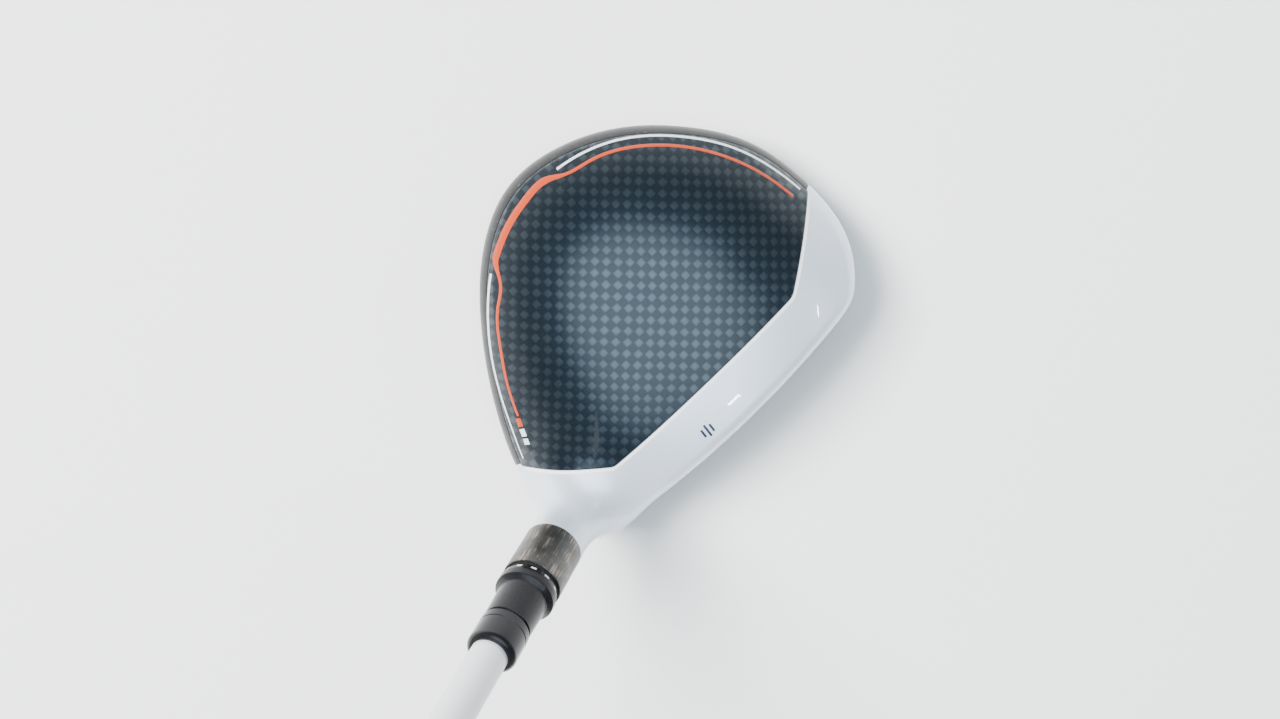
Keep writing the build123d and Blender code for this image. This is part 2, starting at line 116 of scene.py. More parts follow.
def recalculate(piece):
    """Turn every face of a closed mesh outwards."""
    net = bmesh.new()
    net.from_mesh(piece.data)
    bmesh.ops.recalc_face_normals(net, faces=net.faces)
    net.to_mesh(piece.data)
    net.free()


def lathe_points(profile, segments, shape=None):
    profile = np.array(profile, float)
    turn = np.linspace(0, 2 * pi, segments, endpoint=False)
    radius = np.repeat(profile[:, :1], segments, axis=1)
    height = np.repeat(profile[:, 1:2], segments, axis=1)
    if shape is not None:
        radius = shape(radius, height, turn[None, :])
    local = np.stack([radius * np.cos(turn), radius * np.sin(turn), height], -1).reshape(-1, 3)
    return AXIS_FOOT + local @ HOSEL_FRAME


def lathe(name, profile, material, body, segments=96, shape=None, sharp=30.0):
    """Closed solid of revolution about the shaft axis from a ring-shaped (radius, height) profile."""
    points = lathe_points(profile, segments, shape)
    faces = grid_faces(len(profile), segments, close_rows=True, close_columns=True)
    piece = make_piece(name, points, faces, material, body, sharp)
    recalculate(piece)
    return piece


# --- head form ------------
def periodic_bend(gap, right):
    """Second derivatives of a closed cubic spline with these gaps between its points."""
    count = len(gap)
    matrix = np.zeros((count, count))
    for k in range(count):
        matrix[k, k - 1] = gap[k - 1]
        matrix[k, k] = 2 * (gap[k - 1] + gap[k])
        matrix[k, (k + 1) % count] = gap[k]
    return np.linalg.solve(matrix, right)


def radius_by_angle(points):
    """Smooth closed curve round CROWN_CENTRE as a function of direction, for arrays."""
    offset = np.array(points, float) - CROWN_CENTRE
    angle = np.arctan2(offset[:, 1], offset[:, 0]) % (2 * pi)
    order = np.argsort(angle)
    angle, radius = angle[order], np.hypot(offset[:, 0], offset[:, 1])[order]
    count = len(angle)
    gap = np.diff(np.append(angle, angle[0] + 2 * pi))
    slope = (np.roll(radius, -1) - radius) / gap
    bend = periodic_bend(gap, 6 * (slope - np.roll(slope, 1)))

    def at(direction):
        turn = np.asarray(direction) % (2 * pi)
        turn = np.where(turn < angle[0], turn + 2 * pi, turn)
        i = np.clip(np.searchsorted(angle, turn, side="right") - 1, 0, count - 1)
        after, width = (i + 1) % count, gap[i]
        t = turn - angle[i]
        s = width - t
        curve = (bend[i] * s**3 + bend[after] * t**3) / (6 * width)
        return (curve + (radius[i] / width - bend[i] * width / 6) * s
                + (radius[after] / width - bend[after] * width / 6) * t)

    return at


dome_radius = radius_by_angle(REAR_RIM + DOME_FRONT)
rim_radius = radius_by_angle(REAR_RIM + FRONT_RIM)


def crown_height(x, y):
    dx, dy = x - CROWN_CENTRE[0], y - CROWN_CENTRE[1]
    round_part = (dx / CROWN_SEMI[0]) ** 2 + (dy / CROWN_SEMI[1]) ** 2
    edge_part = (np.hypot(dx, dy) / dome_radius(np.arctan2(dy, dx))) ** 4
    return CROWN_APEX - CROWN_DROP_ROUND * round_part - CROWN_DROP_EDGE * edge_part


def sole_height(x, y):
    return x * x / SOLE_CAMBER_X + y * y / SOLE_CAMBER_Y - SOLE_FLAT


def smooth_max(a, b, width):
    mix = np.clip(0.5 + 0.5 * (a - b) / width, 0, 1)
    return b * (1 - mix) + a * mix + width * mix * (1 - mix)


CROWN_EDGE, FACE_EDGE, SOLE_EDGE, NECK_BLEND = 3.0, 2.2, 3.5, 13.0


def head_field(p):
    """Signed distance-like field of the painted head with its neck; negative inside."""
    x, y, z = p[..., 0], p[..., 1], p[..., 2]
    dx, dy = x - CROWN_CENTRE[0], y - CROWN_CENTRE[1]
    reach, turn = np.hypot(dx, dy), np.arctan2(dy, dx)
    scale = np.interp(z, SKIRT_FINE_Z, SKIRT_FINE)
    skirt = reach - rim_radius(turn) * scale
    slope = np.clip(reach / 50.0, 0, 1.2)
    crown = (z - crown_height(x, y)) / np.sqrt(1 + slope**4)
    face = np.linalg.norm(p - FACE_CENTRE, axis=-1) - FACE_RADIUS
    sole = np.maximum(sole_height(x, y) - z, -z)
    head = smooth_max(crown, skirt, CROWN_EDGE)
    head = smooth_max(head, face, FACE_EDGE)
    head = smooth_max(head, sole, SOLE_EDGE)
    offset = p - AXIS_FOOT
    along = offset @ AXIS
    around = np.sqrt(np.maximum(np.sum(offset**2, -1) - along**2, 0)) - HOSEL_R
    low_end = NECK_FOOT - along
    hosel = np.maximum(around, low_end)
    return np.maximum(-smooth_max(-head, -hosel, NECK_BLEND), along - NECK_TOP - 2.0)


def smooth_curve(xs, ys, fine):
    """Natural cubic through a few points."""
    xs, ys = np.array(xs, float), np.array(ys, float)
    n, h = len(xs), np.diff(xs)
    matrix, right = np.eye(n), np.zeros(n)
    for i in range(1, n - 1):
        matrix[i, i - 1:i + 2] = h[i - 1], 2 * (h[i - 1] + h[i]), h[i]
        right[i] = 6 * ((ys[i + 1] - ys[i]) / h[i] - (ys[i] - ys[i - 1]) / h[i - 1])
    m = np.linalg.solve(matrix, right)
    i = np.clip(np.searchsorted(xs, fine, side="right") - 1, 0, n - 2)
    t, s = fine - xs[i], xs[i + 1] - fine
    return ((m[i] * s**3 + m[i + 1] * t**3) / (6 * h[i]) + (ys[i] / h[i] - m[i] * h[i] / 6) * s
            + (ys[i + 1] / h[i] - m[i + 1] * h[i] / 6) * t)


SKIRT_FINE_Z = np.linspace(-4, 40, 221)
SKIRT_FINE = smooth_curve(SKIRT_Z, SKIRT_SCALE, SKIRT_FINE_Z)
FACE_CENTRE = FACE_POINT + FACE_RADIUS * np.array([0, cos(radians(LOFT)), -sin(radians(LOFT))])


def field_gradient(p, step=0.02):
    gradient = np.empty_like(p)
    for axis in range(3):
        shift = np.zeros(3)
        shift[axis] = step
        gradient[:, axis] = (head_field(p + shift) - head_field(p - shift)) / (2 * step)
    return gradient


def settle_on_surface(p, rounds=5):
    for _ in range(rounds):
        gradient = field_gradient(p)
        value = head_field(p)
        step = (value / np.maximum(np.sum(gradient**2, -1), 0.2))[:, None] * gradient
        p = p - np.clip(step, -0.5, 0.5)
    return p


def surface_net(low, high, spacing):
    """Quads over the zero surface of head_field: one point in each cell that it crosses."""
    axes = [np.arange(low[k], high[k] + spacing, spacing) for k in range(3)]
    grid = np.stack(np.meshgrid(*axes, indexing="ij"), -1)
    value = head_field(grid)
    inside = value < 0
    shape = np.array(inside.shape) - 1
    count = np.zeros(shape, int)
    total = np.zeros((*shape, 3))
    corners = [(i, j, k) for i in (0, 1) for j in (0, 1) for k in (0, 1)]
    pairs = [(a, b) for a in corners for b in corners if sum(b) - sum(a) == 1 and
             sum(abs(b[n] - a[n]) for n in range(3)) == 1]

    def corner(field, at):
        return field[at[0]:at[0] + shape[0], at[1]:at[1] + shape[1], at[2]:at[2] + shape[2]]

    for a, b in pairs:
        va, vb = corner(value, a), corner(value, b)
        cross = (va < 0) != (vb < 0)
        t = np.where(cross, va / np.where(cross, va - vb, 1), 0)[..., None]
        total += cross[..., None] * (corner(grid, a) * (1 - t) + corner(grid, b) * t)
        count += cross
    used = count > 0
    index = -np.ones(shape, int)
    index[used] = np.arange(used.sum())
    points = total[used] / count[used][:, None]
    faces = []
    for axis in range(3):
        u, v = (axis + 1) % 3, (axis + 2) % 3
        first = [slice(None)] * 3
        second = [slice(None)] * 3
        first[axis], second[axis] = slice(0, -1), slice(1, None)
        change = inside[tuple(first)].astype(int) - inside[tuple(second)].astype(int)
        at = np.argwhere(change != 0)
        at = at[(at[:, u] > 0) & (at[:, v] > 0) & (at[:, u] < shape[u]) & (at[:, v] < shape[v])]
        sign = change[tuple(at.T)]
        unit_u, unit_v = np.eye(3, dtype=int)[u], np.eye(3, dtype=int)[v]
        ring = [at - unit_u - unit_v, at - unit_v, at, at - unit_u]
        quads = np.stack([index[tuple(r.T)] for r in ring], -1)
        quads[sign < 0] = quads[sign < 0][:, ::-1]
        faces.append(quads)
    return points, np.concatenate(faces)


def relax(points, faces, rounds):
    """Even out the net along the surface."""
    edges = np.concatenate([faces[:, [k, (k + 1) % 4]] for k in range(4)])
    for _ in range(rounds):
        total, count = np.zeros_like(points), np.zeros(len(points))
        np.add.at(total, edges[:, 0], points[edges[:, 1]])
        np.add.at(total, edges[:, 1], points[edges[:, 0]])
        np.add.at(count, edges[:, 0], 1)
        np.add.at(count, edges[:, 1], 1)
        points = settle_on_surface(0.5 * points + 0.5 * total / count[:, None], 2)
    return points


# --- crown panel outline ------------
def rounded(corner, before, after, radius, steps=8):
    """Points round a corner of a plan outline."""
    corner, before, after = map(np.array, (corner, before, after))
    back, on = before - corner, after - corner
    back, on = back / np.linalg.norm(back), on / np.linalg.norm(on)
    half = 0.5 * np.arccos(np.clip(back @ on, -1, 1))
    reach = radius / np.tan(half)
    start, end = corner + back * reach, corner + on * reach
    t = np.linspace(0, 1, steps)[:, None]
    return (1 - t)**2 * start + 2 * t * (1 - t) * corner + t**2 * end


def even_steps(points, count):
    points = np.vstack([points, points[:1]])
    length = np.append(0, np.cumsum(np.linalg.norm(np.diff(points, axis=0), axis=1)))
    at = np.linspace(0, length[-1], count, endpoint=False)
    return np.stack([np.interp(at, length, points[:, k]) for k in range(2)], -1)


def panel_outline(count=560):
    """Plan outline of the crown panel, anticlockwise from the toe end of the rim."""
    turn = np.linspace(0, 2 * pi, 721)
    reach = rim_radius(turn) * PANEL_RIM
    rim = CROWN_CENTRE + reach[:, None] * np.stack([np.cos(turn), np.sin(turn)], -1)
    rim = rim[rim[:, 1] > PANEL_FRONT]
    heel_rim, toe_rim = rim[-1], rim[0]
    heel, toe = np.array(PANEL_HEEL_CORNER), np.array(PANEL_TOE_CORNER)
    parts = [rim[2:-2], rounded(heel_rim, rim[-3], heel, 0.8), rounded(heel, heel_rim, toe, 3.2),
             rounded(toe, heel, toe_rim, 4.5), rounded(toe_rim, toe, rim[2], 0.8)]
    return even_steps(np.vstack(parts), count)


PANEL_CENTRE = np.array([0.0, 10.0])
PANEL = panel_outline()


def moved_in(outline, distance):
    """Closed plan outline moved inwards by a distance."""
    tangent = np.roll(outline, -1, 0) - np.roll(outline, 1, 0)
    tangent /= np.linalg.norm(tangent, axis=1)[:, None]
    inward = np.stack([-tangent[:, 1], tangent[:, 0]], -1)
    return outline + inward * distance


def on_crown(plan, lift=0.0, step=0.02):
    """Points of a plan on the head's upper surface, lifted along Z."""
    points = np.column_stack([plan, crown_height(plan[:, 0], plan[:, 1])])
    up = np.array([0.0, 0.0, step])
    for _ in range(6):
        value = head_field(points)
        slope = (head_field(points + up) - head_field(points - up)) / (2 * step)
        points[:, 2] -= np.clip(value / np.maximum(slope, 0.25), -0.6, 0.6)
    points[:, 2] += lift
    return points


# --- material helpers ------------
class Nodes:
    """Short way to write a material's node tree."""

    def __init__(self, name):
        self.material = bpy.data.materials.new(name)
        self.material.use_nodes = True
        self.tree = self.material.node_tree
        self.shader = self.tree.nodes["Principled BSDF"]
        self.axes = self.position()

    def link(self, value, socket):
        if isinstance(value, (int, float)):
            socket.default_value = value
        elif isinstance(value, tuple):
            socket.default_value = (*value, 1.0) if len(value) == 3 and socket.type == "RGBA" else value
        else:
            self.tree.links.new(value, socket)

    def add(self, kind, inputs=(), output=0, **settings):
        node = self.tree.nodes.new(kind)
        for key, value in settings.items():
            setattr(node, key, value)
        for key, value in dict(inputs).items():
            self.link(value, node.inputs[key])
        return node.outputs[output]

    def math(self, operation, a, b=0.0, c=0.0, clamp=False):
        return self.add("ShaderNodeMath", {0: a, 1: b, 2: c}, operation=operation, use_clamp=clamp)

    def times(self, a, b, clamp=False):
        return self.math("MULTIPLY", a, b, clamp=clamp)

    def plus(self, a, b):
        return self.math("ADD", a, b)

    def minus(self, a, b):
        return self.math("SUBTRACT", a, b)

    def step(self, value, low, high):
        """0 below low, 1 above high, smooth between."""
        return self.add("ShaderNodeMapRange", {"Value": value, "From Min": low, "From Max": high},
                        interpolation_type="SMOOTHSTEP")

    def mix(self, factor, a, b):
        node = self.tree.nodes.new("ShaderNodeMix")
        node.data_type = "RGBA"
        self.link(factor, node.inputs["Factor"])
        self.link(a, node.inputs["A"])
        self.link(b, node.inputs["B"])
        return node.outputs["Result"]

    def position(self):
        """x, y, z in millimetres in the piece's own frame."""
        where = self.add("ShaderNodeTexCoord", output=3)
        scaled = self.add("ShaderNodeVectorMath", {0: where, "Scale": 1 / MM}, operation="SCALE")
        node = self.tree.nodes.new("ShaderNodeSeparateXYZ")
        self.tree.links.new(scaled, node.inputs[0])
        self.vector = scaled
        return node.outputs

    def noise(self, scale, detail=2.0, vector=None):
        inputs = {"Vector": vector or self.vector, "Scale": scale, "Detail": detail}
        return self.add("ShaderNodeTexNoise", inputs)

    def stretched(self, stretch):
        return self.add("ShaderNodeVectorMath", {0: self.vector, 1: stretch}, operation="MULTIPLY")

    def bump(self, height, distance, strength=1.0):
        normal = self.add("ShaderNodeBump", {"Height": height, "Distance": distance, "Strength": strength})
        self.link(normal, self.shader.inputs["Normal"])

    def surface(self, **values):
        for key, value in values.items():
            self.link(value, self.shader.inputs[key.replace("_", " ")])
        return self.material


TOW = 1.9          # width of a tow, mm


def carbon(name, depth=1.0, coat=1.0):
    """Plain weave under clear coat, as a two-tone check of tows along X and Y; the tows along X carry a
    painted sheen, lightest in the middle of each cell.
    """
    n = Nodes(name)
    x, y, _ = n.axes
    wander = n.times(n.minus(n.noise(0.05, 1.0), 0.5), 1.2)
    u = n.math("DIVIDE", n.plus(x, wander), TOW)
    v = n.math("DIVIDE", n.minus(y, wander), TOW)
    column, row = n.math("FLOOR", u), n.math("FLOOR", v)
    across_u = n.minus(n.times(n.minus(u, column), 2.0), 1.0)
    across_v = n.minus(n.times(n.minus(v, row), 2.0), 1.0)
    over = n.math("FLOORED_MODULO", n.plus(column, row), 2.0)
    fall_u = n.minus(1.0, n.math("POWER", n.math("ABSOLUTE", across_u), 3.0))
    fall_v = n.minus(1.0, n.math("POWER", n.math("ABSOLUTE", across_v), 3.0))
    pillow = n.times(fall_u, fall_v)
    along_x = n.noise(1.0, 1.0, n.stretched((0.35, 9.0, 1.0)))
    along_y = n.noise(1.0, 1.0, n.stretched((9.0, 0.35, 1.0)))
    fibre = n.plus(n.times(over, along_x), n.times(n.minus(1.0, over), along_y))
    tint = n.noise(0.09, 2.0)

    def shade(*colour):
        return tuple(c * depth for c in colour)

    # painted sheen: the tows along X get the lighter colour, most at each cell's middle and fading to its
    # edges, standing in for their reflection; the tows along Y keep the darker colour
    bright = n.mix(tint, shade(0.034, 0.052, 0.066), shade(0.066, 0.084, 0.098))
    dark = n.mix(tint, shade(0.013, 0.021, 0.031), shade(0.022, 0.032, 0.042))
    painted_sheen = n.times(over, n.math("POWER", pillow, 0.8))
    painted_sheen = n.times(painted_sheen, n.plus(0.55, n.times(fibre, 0.9)), clamp=True)
    n.bump(n.plus(pillow, n.times(fibre, 0.25)), 0.000035, 0.6)
    rough = n.plus(0.34, n.times(n.minus(1.0, painted_sheen), 0.12))
    return n.surface(Base_Color=n.mix(painted_sheen, dark, bright), Roughness=rough, Metallic=0.85,
                     Coat_Weight=coat, Coat_Roughness=0.05, Coat_IOR=1.35)


def pearl(name):
    """Pearl white lacquer in front, black behind, under and in the track, with flake and grime."""
    n = Nodes(name)
    x, y, z = n.axes
    flake = n.add("ShaderNodeTexVoronoi", {"Vector": n.vector, "Scale": 5.0})
    cloud = n.noise(0.04, 2.0)
    white = n.mix(cloud, (0.60, 0.68, 0.78), (0.68, 0.75, 0.84))
    white = n.mix(n.times(flake, 0.16), white, (0.95, 0.97, 1.0))
    black = n.mix(n.noise(0.3), (0.006, 0.006, 0.007), (0.016, 0.016, 0.018))
    behind = n.step(y, PAINT_Y - PAINT_SOFT, PAINT_Y + PAINT_SOFT)
    under = n.minus(1.0, n.step(z, PAINT_Z - PAINT_SOFT, PAINT_Z + PAINT_SOFT))
    across = n.math("ABSOLUTE", n.minus(y, TRACK_AT[1]))
    beside = n.math("ABSOLUTE", n.minus(x, TRACK_AT[0]))
    in_track = n.times(n.math("LESS_THAN", across, TRACK_WIDTH / 2 + 0.3),
                       n.math("LESS_THAN", beside, TRACK_LENGTH / 2 + 0.3))
    in_track = n.times(in_track, n.math("LESS_THAN", z, TRACK_DARK_TOP))
    dark = n.math("MAXIMUM", n.math("MAXIMUM", behind, under), in_track)
    grime = n.times(n.step(n.noise(0.9, 5.0), 0.60, 0.78), 0.18)
    colour = n.mix(grime, n.mix(dark, white, black), (0.30, 0.30, 0.30))
    n.bump(n.noise(2.2, 3.0), 0.00002, 0.08)
    rough = n.plus(0.30, n.times(n.noise(0.25, 3.0), 0.10))
    metal = n.times(n.minus(1.0, dark), 0.45)
    gloss = n.minus(1.0, n.times(dark, 0.92))
    n.shader.inputs["Specular IOR Level"].default_value = 0.2
    return n.surface(Base_Color=colour, Roughness=rough, Metallic=metal, Coat_Weight=gloss,
                     Coat_Roughness=0.03, Coat_IOR=1.45)


def gunmetal(name):
    """Dark worn metal, rubbed along the tube and faintly warm at the bare patches."""
    n = Nodes(name)
    x, y, z = n.axes
    along = n.plus(n.times(x, -cos(radians(LIE))), n.times(z, sin(radians(LIE))))
    side = n.plus(n.times(x, sin(radians(LIE))), n.times(z, cos(radians(LIE))))
    place = n.add("ShaderNodeCombineXYZ", {0: n.times(side, 2.6), 1: n.times(y, 2.6),
                                           2: n.times(along, 0.22)})
    streak = n.noise(1.0, 6.0, place)
    patch = n.noise(0.3, 4.0)
    worn = n.step(n.plus(streak, n.times(patch, 0.5)), 0.74, 1.02)
    base = n.mix(patch, (0.045, 0.045, 0.044), (0.105, 0.101, 0.095))
    colour = n.mix(worn, base, (0.26, 0.225, 0.19))
    n.bump(streak, 0.00002, 0.3)
    rough = n.plus(0.24, n.times(patch, 0.22))
    return n.surface(Base_Color=colour, Roughness=rough, Metallic=0.9)


def gloss_black(name, colour=(0.010, 0.010, 0.012), roughness=0.16, coat=0.8):
    n = Nodes(name)
    smear = n.noise(0.35, 4.0)
    n.bump(n.noise(1.6, 4.0), 0.00002, 0.06)
    rough = n.plus(roughness, n.times(smear, 0.16))
    lighter = tuple(min(1.0, c * 1.8 + 0.004) for c in colour)
    n.shader.inputs["Specular IOR Level"].default_value = 0.14
    return n.surface(Base_Color=n.mix(smear, colour, lighter), Roughness=rough, Coat_Weight=coat,
                     Coat_Roughness=0.06, Coat_IOR=1.25)


def plain_metal(name, colour, roughness=0.32, grain=(0.4, 6.0, 6.0)):
    n = Nodes(name)
    brush = n.noise(1.0, 4.0, n.stretched(grain))
    darker = tuple(c * 0.72 for c in colour)
    n.bump(brush, 0.00001, 0.25)
    rough = n.plus(roughness - 0.06, n.times(brush, 0.14))
    return n.surface(Base_Color=n.mix(brush, darker, colour), Roughness=rough, Metallic=0.95)


def paint(name, colour, roughness=0.35, metallic=0.0, coat=0.3, variation=0.12):
    n = Nodes(name)
    cloud = n.noise(0.5, 4.0)
    darker = tuple(c * (1 - variation) for c in colour)
    n.bump(n.noise(2.5, 3.0), 0.00001, 0.1)
    rough = n.plus(roughness, n.times(cloud, 0.08))
    return n.surface(Base_Color=n.mix(cloud, darker, colour), Roughness=rough, Metallic=metallic,
                     Coat_Weight=coat, Coat_Roughness=0.08)


def rubber(name, colour=(0.022, 0.022, 0.024)):
    n = Nodes(name)
    grain = n.noise(4.0, 6.0)
    wear = n.noise(0.05, 3.0)
    lighter = tuple(c * 1.9 for c in colour)
    n.bump(grain, 0.00008, 0.45)
    rough = n.plus(0.62, n.times(wear, 0.2))
    return n.surface(Base_Color=n.mix(wear, colour, lighter), Roughness=rough)


def face_finish(name):
    """Face metal brushed heel to toe, with paler worn patches."""
    n = Nodes(name)
    brush = n.noise(1.0, 5.0, n.stretched((0.25, 7.0, 7.0)))
    strike = n.noise(0.12, 3.0)
    colour = n.mix(brush, (0.20, 0.20, 0.21), (0.42, 0.42, 0.43))
    colour = n.mix(n.times(n.step(strike, 0.45, 0.75), 0.4), colour, (0.52, 0.51, 0.49))
    n.bump(brush, 0.00002, 0.4)
    return n.surface(Base_Color=colour, Roughness=n.plus(0.28, n.times(brush, 0.2)),
                     Metallic=0.9)


PEARL = pearl("pearl_paint")
CARBON = carbon("carbon_crown")
CARBON_SOLE = carbon("carbon_sole", 0.7, 0.4)
GUNMETAL = gunmetal("hosel_metal")
SLEEVE_BLACK = gloss_black("sleeve_black", (0.004, 0.004, 0.005), 0.20, 0.35)
FERRULE_BLACK = gloss_black("ferrule_black", (0.003, 0.003, 0.004), 0.12, 0.8)
SHAFT_SILVER = paint("shaft_silver", (0.70, 0.71, 0.73), 0.34, 0.25, 0.4, 0.04)
MARK_WHITE = paint("mark_white", (0.82, 0.82, 0.80), 0.4)
ORANGE = paint("stripe_orange", (0.42, 0.040, 0.002), 0.5, 0.0, 0.1, 0.2)
STRIPE_WHITE = paint("stripe_white", (0.62, 0.66, 0.68), 0.4, 0.0, 0.3, 0.05)
# painted highlight: the front lip's paint is whiter than the pearl body, standing in for the light its edge
# catches
LIP_HIGHLIGHT_WHITE = paint("lip_white_highlight", (0.80, 0.79, 0.78), 0.3, 0.0, 1.0, 0.08)
NAVY = paint("alignment_navy", (0.010, 0.016, 0.045), 0.3, 0.0, 1.0)
GRIP_RUBBER = rubber("grip_rubber")
POLYMER = rubber("slot_polymer", (0.03, 0.03, 0.032))
STEEL = plain_metal("screw_steel", (0.46, 0.46, 0.48))
WEIGHT_METAL = plain_metal("weight_steel", (0.30, 0.31, 0.33), 0.36)
TUNGSTEN = plain_metal("tungsten", (0.22, 0.22, 0.24), 0.45, (3.0, 3.0, 3.0))
ALUMINIUM = plain_metal("screw_aluminium", (0.60, 0.61, 0.63), 0.28)
FACE_METAL = face_finish("face_metal")
WASHER_DARK = rubber("washer_dark", (0.010, 0.010, 0.010))
NYLON = paint("retainer", (0.08, 0.08, 0.08), 0.5)
CORK = paint("plug", (0.40, 0.33, 0.25), 0.8, 0.0, 0.0, 0.4)
TAPE_PAPER = paint("tape", (0.70, 0.66, 0.55), 0.8, 0.0, 0.0, 0.2)

CAD_FINISH = {
    "face_plate": FACE_METAL, "slot_insert": POLYMER, "rear_sole_panel": CARBON_SOLE,
    "rear_weight_plug": TUNGSTEN, "sliding_weight": WEIGHT_METAL, "weight_clamp_nut": STEEL,
    "weight_screw": STEEL, "hosel_tube": GUNMETAL, "screw_washer": STEEL, "screw_retainer": NYLON,
    "hosel_screw": ALUMINIUM, "collar_washer": WASHER_DARK, "loft_sleeve": SLEEVE_BLACK,
    "sleeve_index_marks": MARK_WHITE, "ferrule": FERRULE_BLACK, "shaft": SHAFT_SILVER,
    "shaft_tip_plug": CORK, "grip_tape": TAPE_PAPER, "grip": GRIP_RUBBER, "grip_end_cap": GRIP_RUBBER,
    "head_body": PEARL, "crown_panel": CARBON,
}
for node, finish in CAD_FINISH.items():
    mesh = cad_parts[node].data
    mesh.materials.clear()
    mesh.materials.append(finish)


# --- solid helpers ------------
def carve(piece, cutter, operation="DIFFERENCE"):
    """Boolean of a piece with a cutter, which is deleted."""
    step = piece.modifiers.new("carve", "BOOLEAN")
    step.operation, step.solver, step.object = operation, "MANIFOLD", cutter
    bpy.context.view_layer.update()
    shape = bpy.data.meshes.new_from_object(piece.evaluated_get(bpy.context.evaluated_depsgraph_get()))
    piece.modifiers.clear()
    piece.data = shape
    bpy.data.objects.remove(cutter)


def upright(outline, low, high, name="cutter"):
    """Prism over a plan outline; low and high are heights or functions of the plan."""
    outline = np.asarray(outline, float)
    count = len(outline)
    low = low(outline[:, 0], outline[:, 1]) if callable(low) else np.full(count, float(low))
    high = high(outline[:, 0], outline[:, 1]) if callable(high) else np.full(count, float(high))
    points = np.vstack([np.column_stack([outline, low]), np.column_stack([outline, high])])
    faces = [(k, (k + 1) % count, count + (k + 1) % count, count + k) for k in range(count)]
    faces += [tuple(range(count))[::-1], tuple(range(count, 2 * count))]
    return make_piece(name, points, faces, None, None)


def slab_outline(length, width, at, corner, steps=8):
    """Rectangle with rounded corners."""
    points = []
    for k, (side_x, side_y) in enumerate(((1, 1), (-1, 1), (-1, -1), (1, -1))):
        turn = np.radians(np.linspace(90 * k, 90 * k + 90, steps))
        centre_x = at[0] + side_x * (length / 2 - corner)
        centre_y = at[1] + side_y * (width / 2 - corner)
        points += [(centre_x + corner * cos(a), centre_y + corner * sin(a)) for a in turn]
    return points


def circle(radius, at, steps=72):
    turn = np.linspace(0, 2 * pi, steps, endpoint=False)
    return [(at[0] + radius * cos(a), at[1] + radius * sin(a)) for a in turn]


def rim_plan(scale, steps=160):
    turn = np.linspace(0, 2 * pi, steps, endpoint=False)
    reach = rim_radius(turn) * scale
    return CROWN_CENTRE + reach[:, None] * np.stack([np.cos(turn), np.sin(turn)], -1)


def sheet_solid(height, floor, spacing=1.5):
    """Block whose top follows height(x, y) over the whole head, its flat base at floor."""
    xs, ys = np.arange(-64, 60, spacing), np.arange(-54, 56, spacing)
    grid_x, grid_y = np.meshgrid(xs, ys, indexing="ij")
    top = np.stack([grid_x, grid_y, height(grid_x, grid_y)], -1).reshape(-1, 3)
    base = top.copy()
    base[:, 2] = floor
    rows, columns = len(xs), len(ys)
    upper = grid_faces(rows, columns)
    total = rows * columns
    lower = [tuple(total + k for k in face[::-1]) for face in upper]
    loop = ([i * columns for i in range(rows)] + [(rows - 1) * columns + j for j in range(1, columns)]
            + [i * columns + columns - 1 for i in range(rows - 2, -1, -1)]
            + list(range(columns - 2, 0, -1)))
    sides = [(loop[k], total + loop[k], total + loop[(k + 1) % len(loop)], loop[(k + 1) % len(loop)])
             for k in range(len(loop))]
    piece = make_piece("cutter", np.vstack([top, base]), upper + lower + sides, None, None)
    recalculate(piece)
    return piece


def rod(radius, low, high, segments=96):
    """Closed cylinder about the shaft axis."""
    turn = np.linspace(0, 2 * pi, segments, endpoint=False)
    ring = np.stack([radius * np.cos(turn), radius * np.sin(turn)], -1)
    local = np.vstack([np.column_stack([ring, np.full(segments, t)]) for t in (low, high)])
    faces = [(k, (k + 1) % segments, segments + (k + 1) % segments, segments + k) for k in range(segments)]
    faces += [tuple(range(segments))[::-1], tuple(range(segments, 2 * segments))]
    return make_piece("cutter", AXIS_FOOT + local @ HOSEL_FRAME, faces, None, None)


# --- head ------------
def closed_curve(points, steps):
    """Periodic cubic spline through the points, spaced by chord length."""
    points = np.asarray(points, float)
    count = len(points)
    ahead = np.roll(points, -1, axis=0)
    chord = np.linalg.norm(ahead - points, axis=1)
    slope = (ahead - points) / chord[:, None]
    bend = periodic_bend(chord, 6 * (slope - np.roll(slope, 1, axis=0)))
    curve = []
    for k in range(count):
        here, there, span = bend[k], bend[(k + 1) % count], chord[k]
        for t in np.arange(steps) / steps * span:
            rest = span - t
            curve.append((here * rest ** 3 + there * t ** 3) / (6 * span)
                         + (points[k] / span - here * span / 6) * rest
                         + (ahead[k] / span - there * span / 6) * t)
    return np.array(curve)


def ring_cutter(rings):
    """Closed cutter through rings of points."""
    count = len(rings[0])
    faces = grid_faces(len(rings), count, close_columns=True)
    faces += [tuple(range(count)), tuple((len(rings) - 1) * count + k for k in range(count))[::-1]]
    piece = make_piece("cutter", np.vstack(rings), faces, None, None)
    recalculate(piece)
    return piece


def face_cutter():
    """Prism along Y in front of the face insert's back."""
    outline = closed_curve(FACE_EDGE_POINTS, 10)
    middle = outline.mean(0)
    centre = FACE_CENTRE + FACE_DEPTH * np.array([0, cos(radians(LOFT)), -sin(radians(LOFT))])
    rings = [np.column_stack([outline[:, 0], np.full(len(outline), -70.0), outline[:, 1]])]
    for share in (1.0, 0.75, 0.5, 0.25):
        plan = middle + share * (outline - middle)
        across = FACE_RADIUS**2 - (plan[:, 0] - centre[0])**2 - (plan[:, 1] - centre[2])**2
        rings.append(np.column_stack([plan[:, 0], centre[1] - np.sqrt(across), plan[:, 1]]))
    return ring_cutter(rings)


def panel_cutter():
    """Space for the crown panel, open upwards."""
    rings = [np.column_stack([PANEL, np.full(len(PANEL), 60.0)])]
    for share in np.linspace(1.0, 0.04, 30):
        rings.append(on_crown(PANEL_CENTRE + share * (PANEL - PANEL_CENTRE), -PANEL_THICKNESS - 0.04))
    return ring_cutter(rings)


